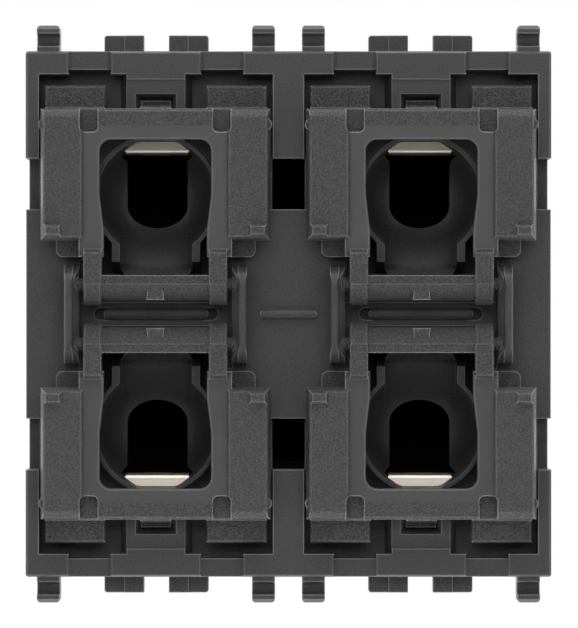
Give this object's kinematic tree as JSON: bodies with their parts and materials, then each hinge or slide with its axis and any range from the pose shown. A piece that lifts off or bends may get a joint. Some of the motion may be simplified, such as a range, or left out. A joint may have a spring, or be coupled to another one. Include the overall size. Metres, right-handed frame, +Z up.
{
  "type": "pushbutton switch mechanism",
  "caption": "Square flush-mounting pushbutton switch mechanism of dark grey plastic: rocking levers with lamp windows in a clip-in frame, deep lamp sockets, contacts and rear screw terminals",
  "frame": {"origin": "middle of the front plane of the clip strips, between the two modules", "axes": "the front faces -Y, +Z is up along the levers, +X runs across the two modules"},
  "size_m": [0.0448, 0.0319, 0.0492],
  "materials": {
    "frame_plastic": "fine matt",
    "lever_plastic": "fine matt",
    "cup_plastic": "smooth satin",
    "housing_plastic": "fine matt",
    "contact_nickel": "nickel plated",
    "contact_brass": "stamped",
    "spring_bronze": "rolled",
    "terminal_brass": "machined",
    "screw_steel": "zinc plated"
  },
  "bodies": {
    "base": {"front_frame": "frame_plastic", "rear_housing": "housing_plastic", "terminal_screws": "screw_steel", "common_bar_upper": "contact_brass", "lamp_cup_upper_left": "cup_plastic", "lamp_contact_upper_left": "contact_nickel", "contact_blade_upper_left": "spring_bronze", "fixed_contact_upper_left": "contact_brass", "lamp_cup_upper_right": "cup_plastic", "lamp_contact_upper_right": "contact_nickel", "contact_blade_upper_right": "spring_bronze", "fixed_contact_upper_right": "contact_brass", "terminal_block_upper_left": "terminal_brass", "terminal_block_upper_middle": "terminal_brass", "terminal_block_upper_right": "terminal_brass", "common_bar_lower": "contact_brass", "lamp_cup_lower_left": "cup_plastic", "lamp_contact_lower_left": "contact_nickel", "contact_blade_lower_left": "spring_bronze", "fixed_contact_lower_left": "contact_brass", "lamp_cup_lower_right": "cup_plastic", "lamp_contact_lower_right": "contact_nickel", "contact_blade_lower_right": "spring_bronze", "fixed_contact_lower_right": "contact_brass", "terminal_block_lower_left": "terminal_brass", "terminal_block_lower_middle": "terminal_brass", "terminal_block_lower_right": "terminal_brass"},
    "lever_upper_left": {"lever_upper_left": "lever_plastic"},
    "lever_upper_right": {"lever_upper_right": "lever_plastic"},
    "lever_lower_left": {"lever_lower_left": "lever_plastic"},
    "lever_lower_right": {"lever_lower_right": "lever_plastic"}
  },
  "joints": [
    {"name": "press_upper_left", "type": "hinge", "parent": "base", "child": "lever_upper_left", "pos_m": [-0.0113, -0.001, 0.00255], "axis": [-1, 0, 0], "range_deg": [0, 5.5], "stiffness_Nm_per_rad": 0.2, "springref_deg": -8.59, "deforming": ["contact_blade_upper_left"]},
    {"name": "press_upper_right", "type": "hinge", "parent": "base", "child": "lever_upper_right", "pos_m": [0.0113, -0.001, 0.00255], "axis": [-1, 0, 0], "range_deg": [0, 5.5], "stiffness_Nm_per_rad": 0.2, "springref_deg": -8.59, "deforming": ["contact_blade_upper_right"]},
    {"name": "press_lower_left", "type": "hinge", "parent": "base", "child": "lever_lower_left", "pos_m": [-0.0113, -0.001, -0.00255], "axis": [1, 0, 0], "range_deg": [0, 5.5], "stiffness_Nm_per_rad": 0.2, "springref_deg": -8.59, "deforming": ["contact_blade_lower_left"]},
    {"name": "press_lower_right", "type": "hinge", "parent": "base", "child": "lever_lower_right", "pos_m": [0.0113, -0.001, -0.00255], "axis": [1, 0, 0], "range_deg": [0, 5.5], "stiffness_Nm_per_rad": 0.2, "springref_deg": -8.59, "deforming": ["contact_blade_lower_right"]}
  ]
}
